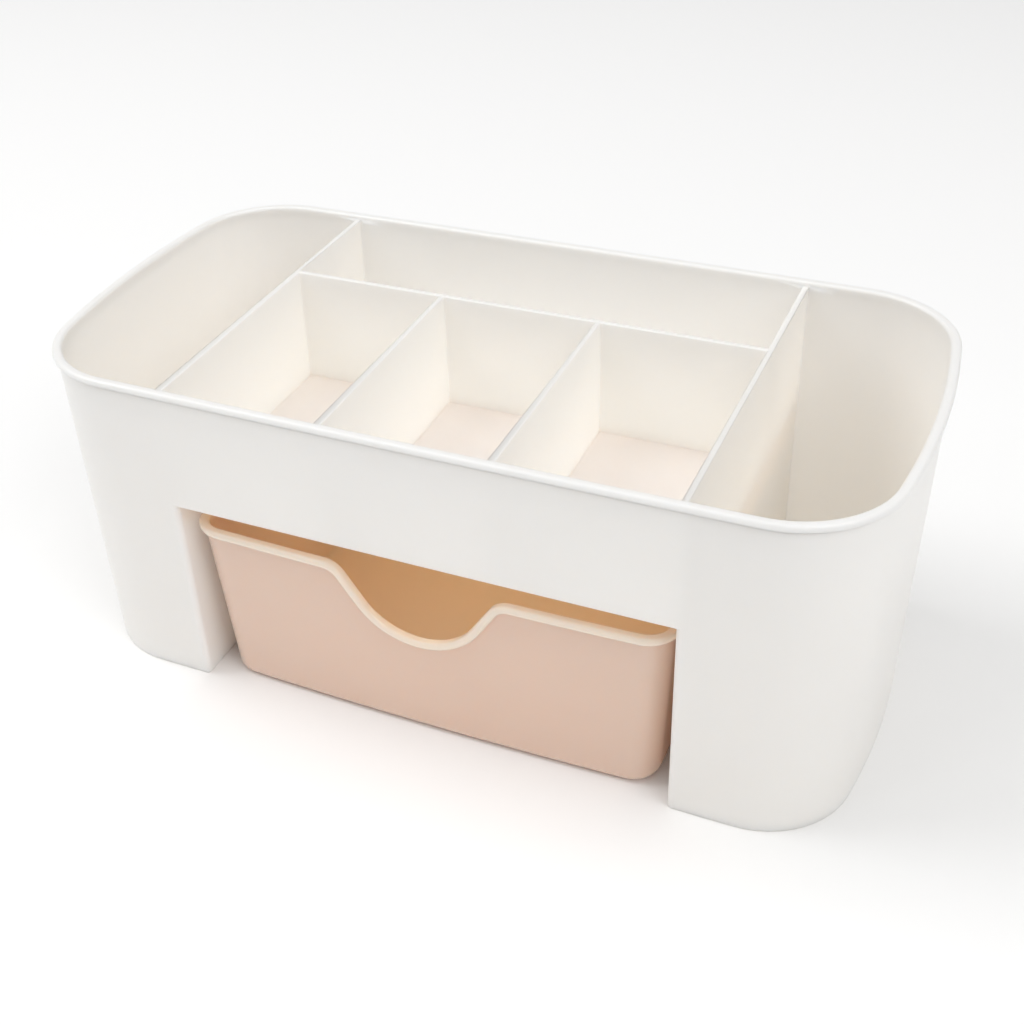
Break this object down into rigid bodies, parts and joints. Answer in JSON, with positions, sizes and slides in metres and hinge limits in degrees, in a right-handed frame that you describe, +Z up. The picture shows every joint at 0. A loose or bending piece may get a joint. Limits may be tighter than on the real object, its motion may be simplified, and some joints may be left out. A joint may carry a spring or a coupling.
{
  "type": "desktop makeup organizer",
  "caption": "Open desktop organizer with compartments above a drawer bay and a beaded drawer with a finger scoop that slides out of the front.",
  "frame": {"origin": "centre of the footprint, on the surface that it stands on", "axes": "+X along the length, -Y out of the open front where the drawer comes out, +Z up"},
  "size_m": [0.22, 0.112, 0.092],
  "materials": {
    "white_plastic": "satin moulded",
    "peach_plastic": "satin moulded"
  },
  "bodies": {
    "housing": {"housing": "white_plastic"},
    "drawer": {"drawer": "peach_plastic"}
  },
  "joints": [
    {"name": "drawer_slide", "type": "slide", "parent": "housing", "child": "drawer", "axis": [0, -1, 0], "range_m": [0, 0.09]}
  ]
}
